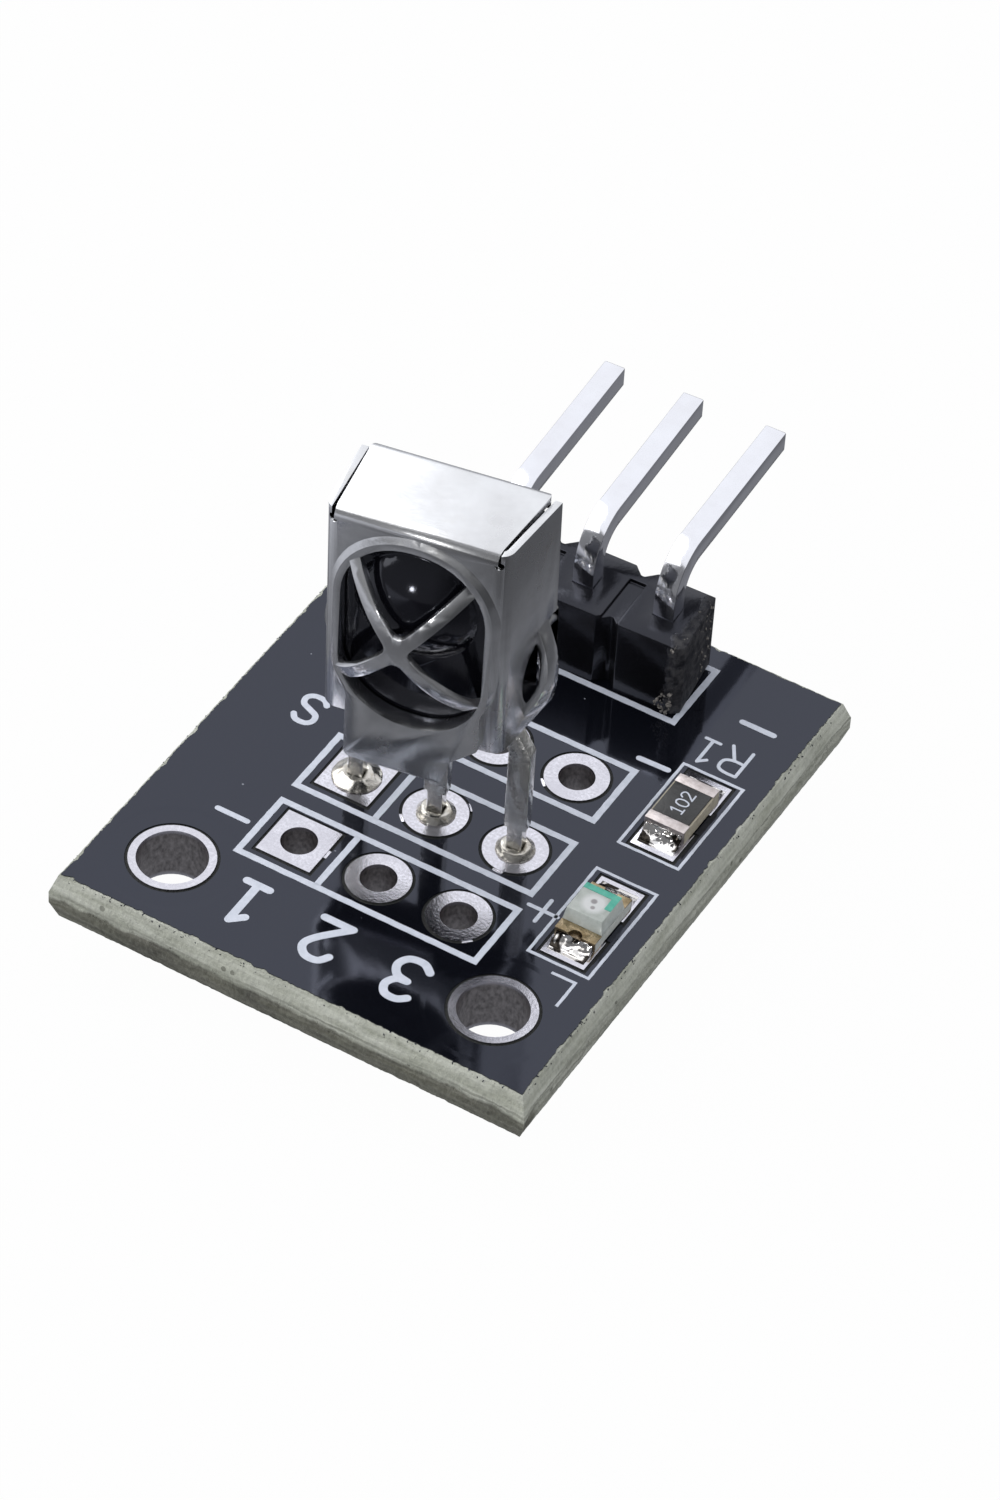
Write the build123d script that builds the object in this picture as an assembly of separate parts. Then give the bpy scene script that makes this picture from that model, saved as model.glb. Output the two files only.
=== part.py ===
from build123d import *
import os
from math import atan, cos, degrees, radians, sin, sqrt

# Infrared receiver module on a small circuit board, in millimetres.
# The origin lies on the board's underside, midway between the two mounting holes.
# X runs along the near edge, Y towards the pin header and Z up.

# Board
board_length = 18.0
board_thickness = 1.6
near_margin = 2.41
score_depth = 0.6
score_inset = 0.2
mask_thickness = 0.03
mask_pullback = 0.03
mask_gap = 0.09
copper = 0.05

# Mounting holes
mounting_spacing = 10.16
mounting_hole_radius = 1.0
mounting_ring_width = 0.22

# Rows of plated holes
pitch = 2.54
ways = 3
hole_radius = 0.52
pad_radius = 0.92
square_pad_side = 1.72
row_c_y = 2.42
row_b_y = 5.41
row_a_y = 8.73
header_y = 13.38
stub_width = 0.3

# White print
print_thickness = 0.015
frame_line = 0.22
thin_line = 0.12
row_frame_width = 7.72
row_frame_depth = 2.47
row_frame_shift = -0.06
header_frame_width = 7.58
header_frame_depth = 2.62
header_frame_shift = -0.09
chip_frame_width = 1.97
resistor_frame_length = 3.71
led_frame_length = 3.77
corner_mark_reach = 0.78
corner_mark_drop = 1.0
corner_mark_gap = 0.3

# Pin header
housing_height = 2.54
housing_depth = 2.42
housing_chamfer = 0.3
web_length = 0.1
groove_width = 0.5
groove_depth = 0.12
groove_stop = 0.28
break_loss = 0.27
break_turn = 5.7
header_yaw = 1.9
pin_side = 0.64
pin_bend_radius = 1.15
pin_leg_height = 1.64
pin_reach = 6.45
pin_tip_chamfer = 0.14
pin_turns = (1.0, 1.1, 0.3)
tail_length = 1.4

# Solder joints
joint_foot_radius = 0.8
joint_height = 0.95
joint_neck = 0.08
joint_crown_radius = 0.6
joint_crown_height = 0.22
square_crown_radius = 0.78

# Receiver's shield, one folded sheet
can_width = 5.16
can_height = 7.14
can_depth = 2.6
sheet = 0.2
can_bend_radius = 0.42
right_splay = 11.0
fold_radius = 0.36
slit_width = 0.09
relief_radius = 0.13
flap_reach = 2.82
flap_spring = 3.2
flap_lip = 0.75
flap_rear_radius = 0.28
flap_corner_radius = 0.3
window_width = 4.1
window_height = 6.0
window_radius = 1.95
window_x = 0.05
window_z = 3.45
rim_top = 0.38
rim_foot = 0.1
collar_draft = 24.0
apron_left = 1.72
apron_right = 1.1
apron_drop = 1.22
apron_step = 0.2
apron_step_z = -0.4
apron_shoulder_z = 0.3
apron_radius = 0.22
cross_centre_z = 3.9
cross_half_width = 1.72
cross_half_height = 1.92
cross_bar = 0.36
cross_bulge = 1.0
cross_node_radius = 0.28
dome_centre_z = 3.6
louvre_centre_y = 2.35
louvre_centre_z = 1.7
louvre_height = 3.3
louvre_bulge = 0.6
louvre_cut = 0.9
louvre_lean = 11.0
louvre_overhang = 0.1

# Receiver's place over the middle row
receiver_x = -0.05
receiver_forward = 1.64
receiver_lift = 4.61
receiver_yaw = 9.25
receiver_roll = -0.9

# Receiver's body and leads
body_clearance = 0.06
body_foot = 0.3
body_edge = 0.25
lens_base_radius = 1.75
lens_bulge = 0.85
lens_z = 4.35
entry_pitch = 1.9
entry_depth = 1.55
lead_thickness = 0.4
lead_width = 0.45
shoulder_width = 0.66
shoulder_stop = 1.0
shoulder_top = 3.9

# Chips
chip_width = 1.25
chip_length = 2.0
chip_gap = 0.845
chip_margin = 1.81
land_width = 1.36
land_length = 1.2
land_offset = 1.05
fillet_run = 0.5
fillet_hollow = 0.65
fillet_climb = 0.8
resistor_y = 9.02
resistor_height = 0.5
cap_length = 0.35
cap_wall = 0.04
film_thickness = 0.04
film_margin = 0.05
led_y = 4.2
led_base_height = 0.3
led_notch_radius = 0.24
led_terminal_length = 0.38
led_resin_height = 0.45
led_resin_draft = 10.0
led_chip_side = 0.3
led_chip_height = 0.14
led_mark_width = 0.2
led_mark_stub = 0.42

# Worked out from the sizes above
board_y = board_length / 2 - near_margin
chip_x = row_frame_width / 2 + chip_gap + chip_frame_width / 2
board_width = 2 * (chip_x + chip_margin)
face_width = board_width - 2 * score_inset
face_length = board_length - 2 * score_inset
mask_top = board_thickness + mask_thickness
land_top = board_thickness + copper
centres_x = [(i - (ways - 1) / 2) * pitch for i in range(ways)]
rows = {"a": row_a_y, "b": row_b_y, "c": row_c_y}
# Trace stubs that show beside a pad: degrees from +X
stub_turns = {"a3": (225,), "b2": (45, 225), "b3": (270,), "c1": (0,), "c3": (315,)}
chips = {"resistor": resistor_y, "led": led_y}
ends = {"near": -1, "far": 1}
header_at = Location((0, header_y, 0)) * Rot(0, 0, header_yaw)
receiver_at = (
    Location((receiver_x, row_b_y - receiver_forward, board_thickness + receiver_lift))
    * Rot(0, 0, receiver_yaw)
    * Rot(0, receiver_roll, 0)
)

FLAT = Align.CENTER, Align.CENTER, Align.MIN


def prism(outline, bottom, top):
    """A straight solid of an outline between two heights."""
    return extrude(Pos(0, 0, bottom) * outline, amount=top - bottom)


def block(x0, x1, y0, y1, z0, z1):
    """A box between its two corners."""
    return Pos(x0, y0, z0) * Box(x1 - x0, y1 - y0, z1 - z0, align=(Align.MIN,) * 3)


def plated_spots():
    """Every small plated hole: its name, place and pad outline."""
    spots = []
    for row, y in rows.items():
        for way, x in enumerate(centres_x, 1):
            spots.append((f"{row}{way}", Location((x, y, 0)), pad_outline(way)))
    for way, x in enumerate(centres_x, 1):
        spots.append((f"h{way}", Location((x, header_y, 0)), pad_outline(way)))
    return spots


def pad_outline(way):
    """The first pad of a row is square and the others are round."""
    if way == 1:
        return Rectangle(square_pad_side, square_pad_side)
    return Circle(pad_radius)


def stubs(name, outline):
    """Ends of traces that reach the edge of the mask's opening, or None."""
    if name not in stub_turns:
        return None
    opening = offset(outline, mask_gap)
    reach = 2 * pad_radius
    bars = Sketch()
    for turn in stub_turns[name]:
        bars += Rot(0, 0, turn) * Pos(reach / 2, 0) * Rectangle(reach, stub_width)
    return bars & opening


# Board and its coatings
def board_outline(grow=0.0):
    return Pos(0, board_y) * Rectangle(face_width + 2 * grow, face_length + 2 * grow)


def board_core():
    slope = degrees(atan(score_inset / score_depth))
    wide = board_outline(score_inset)
    web = prism(wide, score_depth, board_thickness - score_depth)
    upper = extrude(Pos(0, 0, board_thickness - score_depth) * wide, amount=score_depth, taper=slope)
    lower = extrude(Pos(0, 0, score_depth) * wide, amount=-score_depth, taper=slope)
    core = web + upper + lower
    for x in (-mounting_spacing / 2, mounting_spacing / 2):
        core -= Pos(x, 0, 0) * Cylinder(mounting_hole_radius + copper, board_thickness, align=FLAT)
    for name, place, outline in plated_spots():
        core -= place * Cylinder(hole_radius + copper, board_thickness, align=FLAT)
    return core


def mask_outline(on_top):
    """The mask's outline with its openings over rings, pads and lands."""
    outline = board_outline(-mask_pullback)
    ring_radius = mounting_hole_radius + mounting_ring_width
    for x in (-mounting_spacing / 2, mounting_spacing / 2):
        outline -= Pos(x, 0) * Circle(ring_radius + mask_gap)
    for name, place, pad in plated_spots():
        outline -= place * offset(pad, mask_gap)
    if on_top:
        for y in chips.values():
            for side in ends.values():
                outline -= Pos(chip_x, y + side * land_offset) * offset(
                    Rectangle(land_width, land_length), mask_gap
                )
    return outline


def solder_mask(on_top):
    if on_top:
        return prism(mask_outline(True), board_thickness, mask_top)
    return prism(mask_outline(False), -mask_thickness, 0)


# White print: frames of lines, one closed loop each
def line_frame(width, depth, line):
    return Rectangle(width, depth) - Rectangle(width - 2 * line, depth - 2 * line)


def row_frame(has_divider):
    frame = line_frame(row_frame_width, row_frame_depth, frame_line)
    if has_divider:
        frame += Pos(-pitch / 2, 0) * Rectangle(frame_line, row_frame_depth - frame_line)
    return frame


def corner_mark():
    """An open corner of two thin lines between the lamp's frame and the mounting hole."""
    x = chip_x + corner_mark_reach
    y = led_y - led_frame_length / 2 - corner_mark_gap
    arm = Pos(x - corner_mark_reach / 2, y) * Rectangle(corner_mark_reach, thin_line)
    drop = Pos(x - thin_line / 2, y - corner_mark_drop / 2) * Rectangle(thin_line, corner_mark_drop)
    return arm + drop


def legend_print():
    lines = corner_mark()
    for y in rows.values():
        lines += Pos(0, y + row_frame_shift) * row_frame(True)
    header_frame = line_frame(header_frame_width, header_frame_depth, frame_line)
    lines += Pos(0, header_y + header_frame_shift) * header_frame
    lines += Pos(chip_x, resistor_y) * line_frame(chip_frame_width, resistor_frame_length, thin_line)
    lines += Pos(chip_x, led_y) * line_frame(chip_frame_width, led_frame_length, thin_line)
    return prism(lines, mask_top, mask_top + print_thickness)


# Plated holes
def plated_hole(outline, stub, bore):
    """A barrel with a land on each face, as one piece of plating."""
    land = prism(outline, board_thickness, land_top)
    land += prism(outline, -copper, 0)
    if stub:
        land += prism(stub, board_thickness, board_thickness + mask_thickness)
    barrel = Cylinder(bore + copper, board_thickness, align=FLAT)
    length = board_thickness + 2 * copper
    return land + barrel - Pos(0, 0, -copper) * Cylinder(bore, length, align=FLAT)


def mounting_ring():
    outline = Circle(mounting_hole_radius + mounting_ring_width)
    return plated_hole(outline, None, mounting_hole_radius)


# Pin header
def housing():
    """Three octagonal blocks moulded as one strip with short webs between, snapped off at the right."""
    segment = Rectangle(pitch - web_length, housing_depth)
    segment = chamfer(segment.vertices(), housing_chamfer)
    waist = housing_depth - 2 * housing_chamfer
    strip = Rectangle((ways - 1) * pitch, waist)
    for x in centres_x:
        strip += Pos(x, 0) * segment
    top = land_top + housing_height
    solid = prism(strip, land_top, top)
    for x in centres_x[1:]:
        middle = x - pitch / 2
        half = groove_width / 2
        solid -= block(
            middle - half, middle + half, -housing_depth / 2, waist / 2 - groove_stop, top - groove_depth, top
        )
    beyond = block(0, pitch, -housing_depth, housing_depth, 0, 2 * top)
    end = centres_x[-1] + pitch / 2 - break_loss
    return solid - Pos(end, 0, 0) * Rot(0, 0, break_turn) * beyond


def header_pin():
    """A square wire bent once, from its tail under the board to its tip over the far edge."""
    half = pin_side / 2
    leg_z = land_top + housing_height + pin_leg_height
    with BuildSketch(Plane.YZ) as side:
        with BuildLine():
            FilletPolyline(
                (-half, -tail_length), (-half, leg_z + half), (pin_reach, leg_z + half),
                radius=pin_bend_radius + half,
            )
            Line((pin_reach, leg_z + half), (pin_reach, leg_z - half))
            FilletPolyline(
                (pin_reach, leg_z - half), (half, leg_z - half), (half, -tail_length),
                radius=pin_bend_radius - half,
            )
            Line((half, -tail_length), (-half, -tail_length))
        make_face()
    wire = extrude(side.sketch, amount=half, both=True)
    tip = wire.faces().sort_by(Axis.Y)[-1]
    tail = wire.faces().sort_by(Axis.Z)[0]
    return chamfer(tip.edges() + tail.edges(), pin_tip_chamfer)


def pin_place(way):
    return header_at * Location((centres_x[way], 0, 0)) * Rot(0, 0, pin_turns[way % len(pin_turns)])


# Solder
def solder_joint(crown_radius=0.0):
    """Solder that fills a barrel, with a foot drawn down the wire and, where it shows, a crown."""
    neck_radius = pin_side / 2 + joint_neck
    tip = -copper - joint_height
    profile = [(0, tip), (neck_radius, tip), (joint_foot_radius, -copper), (hole_radius, -copper)]
    profile.append((hole_radius, land_top))
    if crown_radius:
        crown_top = land_top + joint_crown_height
        profile += [(crown_radius, land_top), (neck_radius, crown_top), (0, crown_top)]
    else:
        profile.append((0, land_top))
    side = make_face(Plane.XZ * Polyline(*profile, close=True))
    return revolve(side, Axis.Z)


# Receiver's shield, in the receiver's own frame: front face on Y = 0, bottom edge on Z = 0
def side_walls():
    """Front and both sides as one bent strip, seen from above, raised to the can's height."""
    reach = can_depth + can_width
    left = (-can_width / 2, reach)
    right = (can_width / 2 + reach * sin(radians(right_splay)), reach * cos(radians(right_splay)))
    corners = [left, (-can_width / 2, 0), (can_width / 2, 0), right]
    outer = make_face(Polyline(*corners, close=True))
    front = outer.vertices().sort_by(Axis.Y)[:2]
    outer = fillet(front, can_bend_radius)
    strip = outer - offset(outer, -sheet)
    strip &= Pos(0, can_depth / 2) * Rectangle(3 * can_width, can_depth)
    return prism(strip, 0, can_height)


def over_top(y, below):
    """A point of the sprung flap's upper face, or as far below that face as given."""
    spring = radians(flap_spring)
    return (y, can_height + (y * sin(spring) - below) / cos(spring))


def top_flap():
    """The flap that the front carries over the top, sprung up a little, and down the back."""
    fold = can_height - fold_radius
    root = fold - sheet
    lip = can_height - flap_lip
    inside = flap_reach - sheet
    with BuildSketch(Plane.YZ) as side:
        with BuildLine():
            FilletPolyline(
                (0, root), over_top(0, 0), over_top(flap_reach, 0), (flap_reach, lip),
                radius=[fold_radius, flap_rear_radius],
            )
            Line((flap_reach, lip), (inside, lip))
            FilletPolyline(
                (inside, lip), over_top(inside, sheet), over_top(sheet, sheet), (sheet, root),
                radius=[flap_rear_radius - sheet, fold_radius - sheet],
            )
            Line((sheet, root), (0, root))
        make_face()
    band = extrude(side.sketch, amount=can_width, both=True)
    return band & prism(flap_outline(), fold, 2 * can_height)


def flap_half_width():
    return can_width / 2 - sheet - slit_width


def flap_outline():
    """The flap from above: an even slit to both side walls and round rear corners."""
    half = flap_half_width()
    widening = sin(radians(right_splay)) / cos(radians(right_splay))
    corners = [(-half, -sheet), (half - sheet * widening, -sheet)]
    corners += [(half + flap_reach * widening, flap_reach), (-half, flap_reach)]
    outline = make_face(Polyline(*corners, close=True))
    return fillet(outline.vertices().sort_by(Axis.Y)[-2:], flap_corner_radius)


def flap_room():
    """What the slits and the fold clear from the front's upper edge."""
    half = flap_half_width()
    z = can_height - fold_radius
    room = block(-half, half, -sheet, can_bend_radius, z, can_height + sheet)
    for side in (-1, 1):
        x = side * (half + slit_width / 2)
        room += Pos(x, 0, z + can_height / 2) * Box(slit_width, 2 * can_bend_radius, can_height)
        room += Pos(x, 0, z) * Rot(90, 0, 0) * Cylinder(relief_radius, 2 * can_bend_radius)
    return room


def window_outline(grow=0.0):
    """The window, looking along +Y, grown all round by an amount."""
    shape = RectangleRounded(
        window_width + 2 * grow, window_height + 2 * grow, window_radius + grow
    )
    return Pos(window_x, window_z) * shape


def rim_plane():
    """The leaning plane of the window's rim, with X to the right and Y up the front."""
    lean = atan((rim_top - rim_foot) / window_height)
    middle = (rim_top + rim_foot) / 2
    origin = (0, window_z * sin(lean) / cos(lean) - middle, 0)
    return Plane(origin, x_dir=(1, 0, 0), z_dir=(0, -cos(lean), -sin(lean)))


def from_rim(outline, start, depth, taper=0.0):
    """Raises an outline of the front view forwards from a distance ahead of the rim's plane."""
    return extrude(rim_plane().offset(start) * outline, amount=depth, taper=taper)


def collar():
    """The drawn rim round the window, which stands out further at the top than at the bottom."""
    depth = rim_top + sheet
    spread = depth * sin(radians(collar_draft)) / cos(radians(collar_draft))
    return from_rim(window_outline(sheet + spread), -depth, depth, collar_draft) & front_room()


def front_room():
    """Everything in front of the inside of the front."""
    return block(-can_width, can_width, -can_depth, sheet, -can_height, 2 * can_height)


def window_bore():
    """The window through the collar and the front."""
    return from_rim(window_outline(), -can_depth / 2, can_depth)


def apron():
    """The ground tab below the window, in the plane of the collar's rim."""
    low = -apron_drop
    side = window_x + window_width / 2
    with BuildSketch() as face:
        with BuildLine():
            FilletPolyline(
                (-apron_left, window_z), (-apron_left, low), (apron_right, low),
                (apron_right + apron_step, apron_step_z), (side, apron_shoulder_z), (side, window_z),
                radius=apron_radius,
            )
            Line((side, window_z), (-apron_left, window_z))
        make_face()
    return from_rim(face.sketch, -sheet, sheet)


def cross_outline():
    """Two bars over the window, softened where they meet."""
    length = 2 * sqrt(cross_half_width**2 + cross_half_height**2)
    turn = degrees(atan(cross_half_height / cross_half_width))
    bar = Rectangle(1.2 * length, cross_bar)
    bars = Rot(0, 0, turn) * bar + Rot(0, 0, -turn) * bar
    inner = bars.vertices().sort_by_distance((0, 0, 0))[:4]
    return Pos(0, cross_centre_z) * fillet(inner, cross_node_radius)


def domed_cross():
    """The bars cut from a shallow dome, so that they arch out over the lens."""
    rim = sqrt(cross_half_width**2 + cross_half_height**2) + sheet / 2
    radius = (rim**2 + cross_bulge**2) / (2 * cross_bulge)
    centre = rim_plane().location * Pos(0, dome_centre_z, cross_bulge - radius)
    dome = centre * (Sphere(radius) - Sphere(radius - sheet))
    reach = cross_outline() & window_outline(sheet / 2)
    return dome & from_rim(reach, -rim_top, cross_bulge + rim_top + sheet) & front_room()


def louvre_form(wall, front):
    """A ball that bulges a side plate outwards, less a wall, behind a front plane; X leaves the plate."""
    radius = ((louvre_height / 2) ** 2 + louvre_bulge**2) / (2 * louvre_bulge)
    ball = Pos(louvre_bulge - radius, 0, 0) * Rot(0, 90, 0) * Sphere(radius - wall)
    reach = louvre_height
    return ball & block(-sheet, reach, -front, reach, -reach, reach)


def louvre_shell():
    """The rear part of the bulge, open towards the front."""
    return louvre_form(0, louvre_cut) - louvre_form(sheet, louvre_height)


def on_side(side, form):
    """Sets a louvre's form on a side plate and keeps what lies within the can's height and depth."""
    splay = right_splay if side > 0 else 0.0
    corner = Location((side * can_width / 2, 0, 0)) * Rot(0, 0, -side * splay)
    middle = Location((0, louvre_centre_y, louvre_centre_z)) * Rot(-louvre_lean, 0, 0)
    if side < 0:
        form = mirror(form, Plane.YZ)
    room = block(-2 * can_width, 2 * can_width, 0, can_depth + louvre_overhang, 0, can_height)
    return (corner * middle * form) & room


def receiver_shield():
    can = side_walls() - flap_room()
    can += top_flap()
    can += collar()
    can += apron()
    can -= window_bore()
    can += domed_cross()
    for side in (-1, 1):
        can -= on_side(side, louvre_form(sheet, louvre_height))
        can += on_side(side, louvre_shell())
    return can.solid()


# Receiver's body and leads
def receiver_body():
    """Black epoxy with a lens, seated against the shield's front and under its flap."""
    half = can_width / 2 - sheet - body_clearance
    rear = flap_reach - sheet - body_clearance
    solid = block(-half, half, sheet, rear, body_foot, can_height - sheet)
    top_front = solid.edges().filter_by(Axis.X).group_by(Axis.Y)[0].sort_by(Axis.Z)[-1:]
    solid = chamfer(solid.edges().filter_by(Axis.Z) + top_front, body_edge)
    radius = (lens_base_radius**2 + lens_bulge**2) / (2 * lens_bulge)
    lens = Pos(0, sheet + radius - lens_bulge, lens_z) * Sphere(radius)
    room = block(-half, half, -lens_bulge, rear - body_edge, body_foot, can_height - sheet)
    lens &= room
    return solid + lens


def lead(way):
    """A stamped lead: out of the body, spread to its hole's place, then a shoulder and a slim tail."""
    x = centres_x[way]
    turn = Rot(0, 0, receiver_yaw)
    wide = Rectangle(shoulder_width, lead_thickness)
    slim = Rectangle(lead_width, lead_thickness)
    stop_z = board_thickness + shoulder_stop
    bend_z = board_thickness + shoulder_top
    entry_x = (way - (ways - 1) / 2) * entry_pitch
    entry = receiver_at * Location((entry_x, entry_depth, body_foot)) * wide
    bend = Location((x, row_b_y, bend_z)) * turn * wide
    neck = loft([bend, entry], ruled=True)
    shoulder = extrude(Location((x, row_b_y, stop_z)) * turn * wide, amount=bend_z - stop_z)
    tail = extrude(Location((x, row_b_y, -tail_length)) * turn * slim, amount=stop_z + tail_length)
    return neck + shoulder + tail


# Chips
def chip_land():
    return prism(Rectangle(land_width, land_length), board_thickness, land_top)


def chip_fillet(side, height):
    """Solder from a chip's end face down to its land."""
    start = chip_length / 2
    with BuildSketch(Plane.YZ) as profile:
        with BuildLine():
            Line((start, land_top), (start + fillet_run, land_top))
            RadiusArc((start + fillet_run, land_top), (start, land_top + height), fillet_hollow)
            Line((start, land_top + height), (start, land_top))
        make_face()
    wedge = extrude(profile.sketch, amount=chip_width / 2 - cap_wall, both=True)
    return wedge if side > 0 else mirror(wedge, Plane.XZ)


def resistor_ceramic():
    body = Pos(0, 0, land_top + cap_wall) * Box(
        chip_width, chip_length - 2 * cap_wall, resistor_height - 2 * cap_wall, align=FLAT
    )
    return body


def resistor_cap(side):
    """A cap over the top, end and underside of the ceramic."""
    outer = Pos(0, 0, land_top) * Box(chip_width, chip_length, resistor_height, align=FLAT)
    reach = chip_length / 2 - cap_length
    keep = block(-chip_width, chip_width, reach, chip_length, 0, 2 * board_thickness)
    if side < 0:
        keep = mirror(keep, Plane.XZ)
    return (outer & keep) - resistor_ceramic()


def resistor_film():
    top = land_top + resistor_height - cap_wall
    film = Rectangle(chip_width - 2 * film_margin, chip_length - 2 * cap_length)
    return prism(film, top, top + film_thickness)


def led_base_outline():
    outline = Rectangle(chip_width, chip_length - 2 * cap_wall)
    for side in ends.values():
        outline -= Pos(0, side * chip_length / 2) * Circle(led_notch_radius)
    return outline


def led_base():
    bottom = land_top + cap_wall
    return prism(led_base_outline(), bottom, bottom + led_base_height)


def led_terminal(side):
    """A gilt cap over one end of the base, lining its notch."""
    outline = Rectangle(chip_width, chip_length)
    outline -= Pos(0, side * chip_length / 2) * Circle(led_notch_radius - cap_wall)
    inner = chip_length / 2 - led_terminal_length
    outline &= Pos(0, side * (inner + chip_length / 2)) * Rectangle(chip_width, chip_length)
    cap = prism(outline, land_top, land_top + led_base_height + 2 * cap_wall)
    return cap - led_base()


def led_resin_bottom():
    return land_top + cap_wall + led_base_height


def led_resin():
    length = chip_length - 2 * led_terminal_length
    outline = Rectangle(chip_width, length)
    block_of_resin = extrude(
        Pos(0, 0, led_resin_bottom()) * outline, amount=led_resin_height, taper=led_resin_draft
    )
    return block_of_resin - led_chip()


def led_chip():
    return Pos(0, 0, led_resin_bottom()) * Box(led_chip_side, led_chip_side, led_chip_height, align=FLAT)


def led_mark():
    """A painted band across the far end of the resin, with a stub down one side."""
    z = led_resin_bottom() + led_resin_height
    inset = led_resin_height * sin(radians(led_resin_draft)) / cos(radians(led_resin_draft))
    half = chip_width / 2 - inset
    far = chip_length / 2 - led_terminal_length - inset
    band = Pos(0, far - led_mark_width / 2) * Rectangle(2 * half, led_mark_width)
    stub_y = far - led_mark_width - led_mark_stub / 2
    band += Pos(half - led_mark_width / 2, stub_y) * Rectangle(led_mark_width, led_mark_stub)
    return prism(band, z, z + print_thickness)


def board_nodes():
    nodes = {
        "board_core": board_core(),
        "solder_mask_top": solder_mask(True),
        "solder_mask_bottom": solder_mask(False),
        "legend_print": legend_print(),
    }
    for label, x in (("left", -mounting_spacing / 2), ("right", mounting_spacing / 2)):
        nodes[f"mounting_ring_{label}"] = Pos(x, 0, 0) * mounting_ring()
    for name, place, outline in plated_spots():
        nodes[f"pad_{name}"] = place * plated_hole(outline, stubs(name, outline), hole_radius)
    for chip, y in chips.items():
        for label, side in ends.items():
            nodes[f"{chip}_land_{label}"] = Pos(chip_x, y + side * land_offset, 0) * chip_land()
    return nodes


def header_nodes():
    nodes = {}
    body = header_at * housing()
    for way in range(ways):
        pin = pin_place(way) * header_pin()
        joint = Location((centres_x[way], header_y, 0)) * solder_joint()
        body -= pin
        nodes[f"header_pin_{way + 1}"] = pin
        nodes[f"header_solder_{way + 1}"] = joint - pin - body
    nodes["header_housing"] = body
    return nodes


def receiver_nodes():
    body = receiver_at * receiver_body()
    nodes = {"receiver_shield": receiver_at * receiver_shield(), "receiver_body": body}
    for way in range(ways):
        wire = lead(way)
        crown = square_crown_radius if way == 0 else joint_crown_radius
        joint = Location((centres_x[way], row_b_y, 0)) * solder_joint(crown)
        nodes[f"receiver_lead_{way + 1}"] = wire
        nodes[f"receiver_solder_{way + 1}"] = joint - wire
    return nodes


def resistor_nodes():
    nodes = {"resistor_ceramic": resistor_ceramic(), "resistor_film": resistor_film()}
    for label, side in ends.items():
        nodes[f"resistor_cap_{label}"] = resistor_cap(side)
        nodes[f"resistor_solder_{label}"] = chip_fillet(side, fillet_climb * resistor_height)
    return {name: Pos(chip_x, resistor_y, 0) * solid for name, solid in nodes.items()}


def led_nodes():
    nodes = {"led_base": led_base(), "led_resin": led_resin(), "led_chip": led_chip(), "led_mark": led_mark()}
    for label, side in ends.items():
        terminal = led_terminal(side)
        nodes[f"led_terminal_{label}"] = terminal
        fillet_height = led_base_height + cap_wall
        nodes[f"led_solder_{label}"] = chip_fillet(side, fillet_height)
    return {name: Pos(chip_x, led_y, 0) * solid for name, solid in nodes.items()}


def write(nodes):
    os.makedirs("parts", exist_ok=True)
    for name, solid in nodes.items():
        export_step(solid, f"parts/{name}.step")


write(board_nodes())
write(header_nodes())
write(receiver_nodes())
write(resistor_nodes())
write(led_nodes())
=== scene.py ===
import math

import bmesh
import bpy
from mathutils import Matrix, Vector, noise
from mathutils.geometry import delaunay_2d_cdt


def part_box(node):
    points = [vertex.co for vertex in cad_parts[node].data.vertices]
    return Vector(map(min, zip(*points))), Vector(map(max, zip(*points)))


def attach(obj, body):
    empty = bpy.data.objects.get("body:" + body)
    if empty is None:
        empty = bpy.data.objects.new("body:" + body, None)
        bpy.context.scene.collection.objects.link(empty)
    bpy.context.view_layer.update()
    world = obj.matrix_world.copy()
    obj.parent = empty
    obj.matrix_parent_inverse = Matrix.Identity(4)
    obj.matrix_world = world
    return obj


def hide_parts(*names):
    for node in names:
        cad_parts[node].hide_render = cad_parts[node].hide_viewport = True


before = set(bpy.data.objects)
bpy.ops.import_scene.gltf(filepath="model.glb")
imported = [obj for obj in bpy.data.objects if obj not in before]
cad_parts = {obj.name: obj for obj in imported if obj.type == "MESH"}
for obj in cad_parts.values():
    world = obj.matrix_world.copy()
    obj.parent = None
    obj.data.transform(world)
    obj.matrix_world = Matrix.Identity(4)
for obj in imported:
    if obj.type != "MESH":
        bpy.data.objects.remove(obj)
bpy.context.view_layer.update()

# Infrared receiver module: the finish of every part, in the frame of the solids.
# Sizes below are in millimetres and are turned to metres as each mesh is made.

MM = 0.001

# Board
score_inset = 0.2
score_depth = 0.6
wall_step = 0.06
wall_rows = 16
rim_wear = 0.05
web_wear = 0.11
mask_pullback = 0.04
mask_gap = 0.09
small_bore = 0.57
mounting_bore = 1.05
small_pad = 0.92
square_pad = 1.72
hole_segments = 64

# Laminate: heights between which its painted shade below turns to a painted lit tone above, the seams above
# the scores, the face's dark part
lit_from, lit_to = 0.84, 0.98
seam_rise = 0.06
web_half = (0.16, 0.34)
face_margin = 0.5

# Copper under the lacquer ends this far from a mounting hole's middle
copper_end = (1.82, 1.98)

# White print
print_thickness = 0.015
frame_line = 0.19
thin_line = 0.09
row_frame = (7.72, 2.47)
row_frame_shift = -0.06
header_frame = (7.58, 2.62)
header_frame_shift = -0.09
divider_x = -1.27
resistor_frame = (1.97, 3.71)
led_frame = (1.97, 3.77)
corner_mark = (0.78, 1.0, 0.3)

# Receiver's place: front face, bottom edge and turn
receiver_origin = (-0.05, 3.77, 6.21)
receiver_yaw = 9.25
receiver_roll = -0.9
can_width = 5.16
can_height = 7.14
can_depth = 2.7
can_splay = 11.0

# Rim, cross and apron lie ahead of the first, in depth, or below the second, in height
front_sheet = 0.02
apron_top = -0.01
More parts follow.
